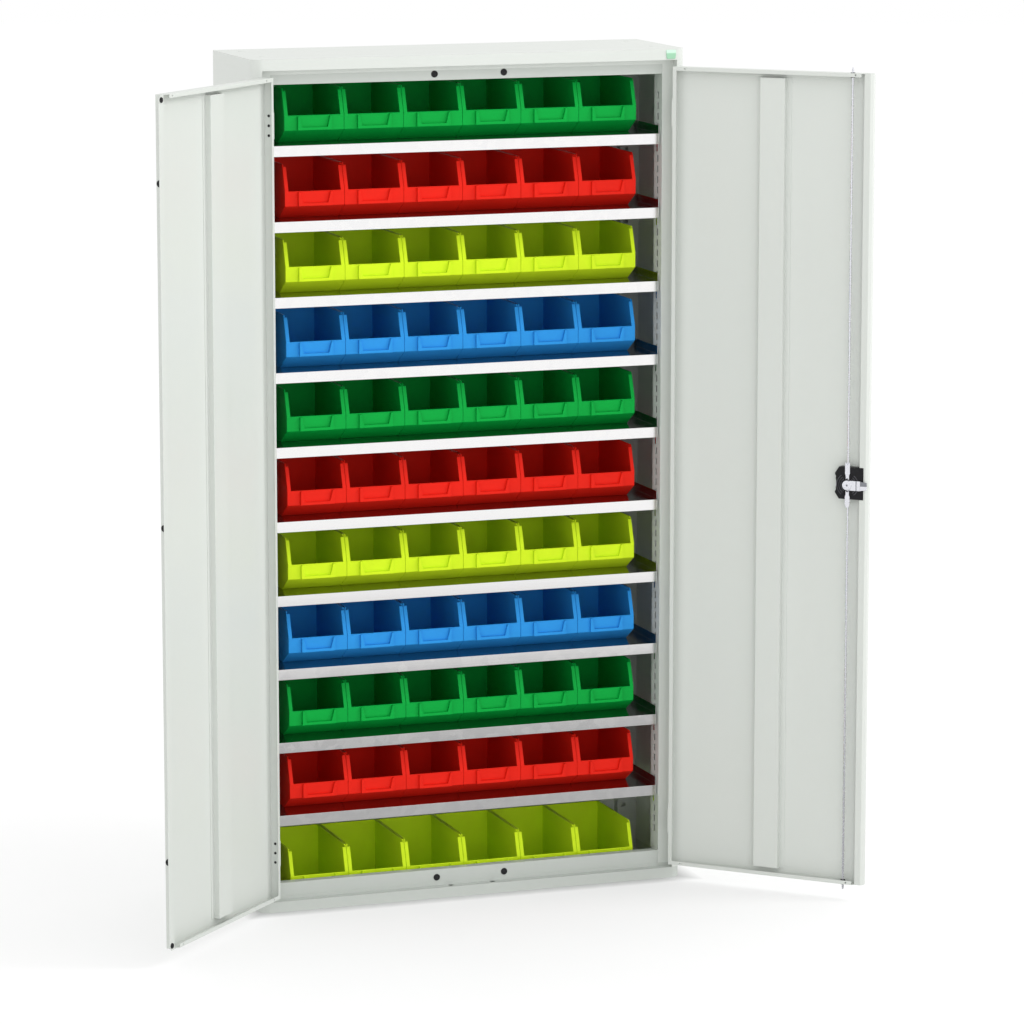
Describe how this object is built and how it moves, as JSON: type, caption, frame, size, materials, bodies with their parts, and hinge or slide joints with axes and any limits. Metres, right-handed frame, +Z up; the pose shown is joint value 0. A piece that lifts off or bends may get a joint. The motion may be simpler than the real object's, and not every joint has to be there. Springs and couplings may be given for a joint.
{
  "type": "parts bin cabinet",
  "caption": "Tall steel cabinet with two hinged doors, adjustable shelves and rows of open-front plastic parts bins, with a handle lock that drives two rods.",
  "frame": {"origin": "on the floor, at the middle of the case's foot", "axes": "+Z up, +Y towards the back, the doors face -Y, +X to the right as seen from the front"},
  "size_m": [1.7147, 0.7107, 2.0006],
  "materials": {
    "paint": "satin powder coat",
    "mint_plastic": "gloss",
    "galvanised": "bright galvanised",
    "zinc": "zinc plated",
    "nickel": "nickel plated",
    "black_steel": "blackened",
    "rubber": "matt",
    "black_plastic": "satin",
    "bin_green": "satin",
    "bin_red": "satin",
    "bin_lime": "satin",
    "bin_blue": "satin"
  },
  "bodies": {
    "cabinet": {"lid": "paint", "corner_cap": "mint_plastic", "lid_plugs": "paint", "back_panel": "paint", "left_side_panel": "paint", "right_side_panel": "paint", "base_plinth": "paint", "top_rail": "paint", "bottom_rail": "paint", "front_left_upright": "paint", "front_right_upright": "paint", "rear_left_upright": "paint", "rear_right_upright": "paint", "shelf_01": "galvanised", "shelf_02": "galvanised", "shelf_03": "galvanised", "shelf_04": "galvanised", "shelf_05": "galvanised", "shelf_06": "galvanised", "shelf_07": "galvanised", "shelf_08": "galvanised", "shelf_09": "galvanised", "shelf_10": "galvanised", "shelf_clips": "galvanised", "rail_buffers": "rubber", "hinge_frame_leaves": "paint", "hinge_pins": "zinc"},
    "left_door_leaf": {"left_door": "paint", "left_door_stiffener": "paint", "left_hinge_leaves": "paint", "left_hinge_screws": "black_steel", "left_door_buffers": "rubber"},
    "right_door_leaf": {"right_door": "paint", "right_door_stiffener": "paint", "right_hinge_leaves": "paint", "right_hinge_screws": "black_steel", "lock_cover": "black_plastic", "rod_guides": "black_plastic", "handle_plate": "black_plastic", "handle_plate_screws": "zinc"},
    "lock_handle": {"lock_cam": "zinc", "latch_tongue": "zinc", "door_handle": "black_plastic"},
    "key": {"key_barrel": "nickel"},
    "upper_lock_rod": {"upper_rod": "zinc"},
    "lower_lock_rod": {"lower_rod": "zinc"},
    "bins_01": {"bins_row_01": "bin_green"},
    "bins_02": {"bins_row_02": "bin_red"},
    "bins_03": {"bins_row_03": "bin_lime"},
    "bins_04": {"bins_row_04": "bin_blue"},
    "bins_05": {"bins_row_05": "bin_green"},
    "bins_06": {"bins_row_06": "bin_red"},
    "bins_07": {"bins_row_07": "bin_lime"},
    "bins_08": {"bins_row_08": "bin_blue"},
    "bins_09": {"bins_row_09": "bin_green"},
    "bins_10": {"bins_row_10": "bin_red"},
    "bins_11": {"bins_row_11": "bin_lime"}
  },
  "joints": [
    {"name": "left_door_hinge", "type": "hinge", "parent": "cabinet", "child": "left_door_leaf", "pos_m": [-0.504, -0.1645, 1], "axis": [0, 0, -1], "range_deg": [-135, 40]},
    {"name": "right_door_hinge", "type": "hinge", "parent": "cabinet", "child": "right_door_leaf", "pos_m": [0.504, -0.1645, 1], "axis": [0, 0, 1], "range_deg": [-135, 40]},
    {"name": "handle_turn", "type": "hinge", "parent": "right_door_leaf", "child": "lock_handle", "pos_m": [0.82199, -0.48531, 0.998], "axis": [0.7071, 0.7071, 0], "range_deg": [-65, 25]},
    {"name": "key_turn", "type": "hinge", "parent": "lock_handle", "child": "key", "pos_m": [0.82199, -0.48531, 0.998], "axis": [0.7071, 0.7071, 0], "range_deg": [0, 90]},
    {"name": "upper_rod_slide", "type": "slide", "parent": "right_door_leaf", "child": "upper_lock_rod", "axis": [0, 0, 1], "range_m": [-0.0131, 0.0051]},
    {"name": "lower_rod_slide", "type": "slide", "parent": "right_door_leaf", "child": "lower_lock_rod", "axis": [0, 0, -1], "range_m": [-0.0131, 0.0051]},
    {"name": "bins_01_slide", "type": "slide", "parent": "cabinet", "child": "bins_01", "axis": [0, -1, 0], "range_m": [0, 0.2]},
    {"name": "bins_02_slide", "type": "slide", "parent": "cabinet", "child": "bins_02", "axis": [0, -1, 0], "range_m": [0, 0.2]},
    {"name": "bins_03_slide", "type": "slide", "parent": "cabinet", "child": "bins_03", "axis": [0, -1, 0], "range_m": [0, 0.2]},
    {"name": "bins_04_slide", "type": "slide", "parent": "cabinet", "child": "bins_04", "axis": [0, -1, 0], "range_m": [0, 0.2]},
    {"name": "bins_05_slide", "type": "slide", "parent": "cabinet", "child": "bins_05", "axis": [0, -1, 0], "range_m": [0, 0.2]},
    {"name": "bins_06_slide", "type": "slide", "parent": "cabinet", "child": "bins_06", "axis": [0, -1, 0], "range_m": [0, 0.2]},
    {"name": "bins_07_slide", "type": "slide", "parent": "cabinet", "child": "bins_07", "axis": [0, -1, 0], "range_m": [0, 0.2]},
    {"name": "bins_08_slide", "type": "slide", "parent": "cabinet", "child": "bins_08", "axis": [0, -1, 0], "range_m": [0, 0.2]},
    {"name": "bins_09_slide", "type": "slide", "parent": "cabinet", "child": "bins_09", "axis": [0, -1, 0], "range_m": [0, 0.2]},
    {"name": "bins_10_slide", "type": "slide", "parent": "cabinet", "child": "bins_10", "axis": [0, -1, 0], "range_m": [0, 0.2]},
    {"name": "bins_11_lift", "type": "slide", "parent": "cabinet", "child": "bins_11", "axis": [0, 0, 1], "range_m": [0, 0.065]}
  ],
  "couplings": [
    {"joint": "upper_rod_slide", "follows": "handle_turn", "m_per_rad": 0.011459},
    {"joint": "lower_rod_slide", "follows": "handle_turn", "m_per_rad": 0.011459}
  ]
}
